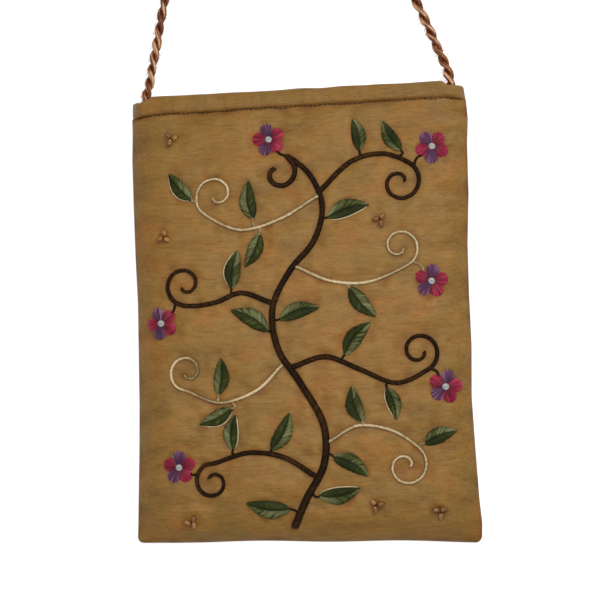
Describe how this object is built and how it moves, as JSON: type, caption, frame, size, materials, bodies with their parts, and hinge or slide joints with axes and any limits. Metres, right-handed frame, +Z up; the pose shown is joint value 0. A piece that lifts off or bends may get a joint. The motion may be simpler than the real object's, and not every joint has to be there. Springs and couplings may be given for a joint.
{
  "type": "passport bag",
  "caption": "Flat silk neck pouch for travel papers, with raised scrolling-vine embroidery, glass beads, a zipped mouth and a long twisted cord.",
  "frame": {"origin": "under the middle of the bag's back, on the surface it lies on", "axes": "+X across the bag to its right, +Y from its foot to its mouth, +Z up out of its embroidered front"},
  "size_m": [0.15, 0.3192, 0.0106],
  "materials": {
    "silk": "golden slubbed silk, satin",
    "lining_cloth": "plain woven lining, matt",
    "tape_cloth": "woven zip tape, matt",
    "zip_teeth": "fine nylon coil",
    "zip_metal": "antique brass, satin",
    "brown_thread": "satin stitch, silky",
    "cream_thread": "satin stitch, silky",
    "green_thread": "satin stitch, silky",
    "crimson_thread": "satin stitch, silky",
    "bead_glass": "clear copper-coloured glass, glossy",
    "cord_rayon": "twisted two-ply rayon, silky"
  },
  "bodies": {
    "bag": {"front_panel": "silk", "back_panel": "silk", "front_hem": "silk", "back_hem": "silk", "lining": "lining_cloth", "zip_tape_front": "tape_cloth", "zip_tape_back": "tape_cloth", "zip_chain_front": "zip_teeth", "zip_chain_back": "zip_teeth", "zip_stop_open": "zip_metal", "zip_stop_closed": "zip_metal", "trunk": "brown_thread", "scroll_low_left": "brown_thread", "scroll_low_right": "cream_thread", "scroll_left": "cream_thread", "scroll_right": "brown_thread", "scroll_high_left": "brown_thread", "scroll_high_right": "cream_thread", "tendril_top_left": "cream_thread", "tendril_top_right": "brown_thread", "leaf_01": "green_thread", "leaf_02": "green_thread", "leaf_03": "green_thread", "leaf_04": "green_thread", "leaf_05": "green_thread", "leaf_06": "green_thread", "leaf_07": "green_thread", "leaf_08": "green_thread", "leaf_09": "green_thread", "leaf_10": "green_thread", "leaf_11": "green_thread", "leaf_12": "green_thread", "leaf_13": "green_thread", "leaf_14": "green_thread", "leaf_15": "green_thread", "leaf_16": "green_thread", "leaf_17": "green_thread", "leaf_18": "green_thread", "leaf_19": "green_thread", "leaf_20": "green_thread", "leaf_21": "green_thread", "rosette_1": "crimson_thread", "rosette_2": "crimson_thread", "rosette_3": "crimson_thread", "rosette_4": "crimson_thread", "rosette_5": "crimson_thread", "rosette_6": "crimson_thread", "beads_1": "bead_glass", "beads_2": "bead_glass", "beads_3": "bead_glass", "beads_4": "bead_glass", "beads_5": "bead_glass", "beads_6": "bead_glass", "cord_left": "cord_rayon", "cord_right": "cord_rayon", "cord_coil": "cord_rayon", "cord_tie": "cord_rayon"},
    "slider": {"zip_slider": "zip_metal"},
    "pull": {"zip_pull": "zip_metal"}
  },
  "joints": [
    {"name": "zip_slide", "type": "slide", "parent": "bag", "child": "slider", "axis": [1, 0, 0], "range_m": [-0.104, 0]},
    {"name": "pull_turn", "type": "hinge", "parent": "slider", "child": "pull", "pos_m": [0.052, 0.09784, 0.0047], "axis": [0, 0, -1], "range_deg": [0, 180]}
  ]
}
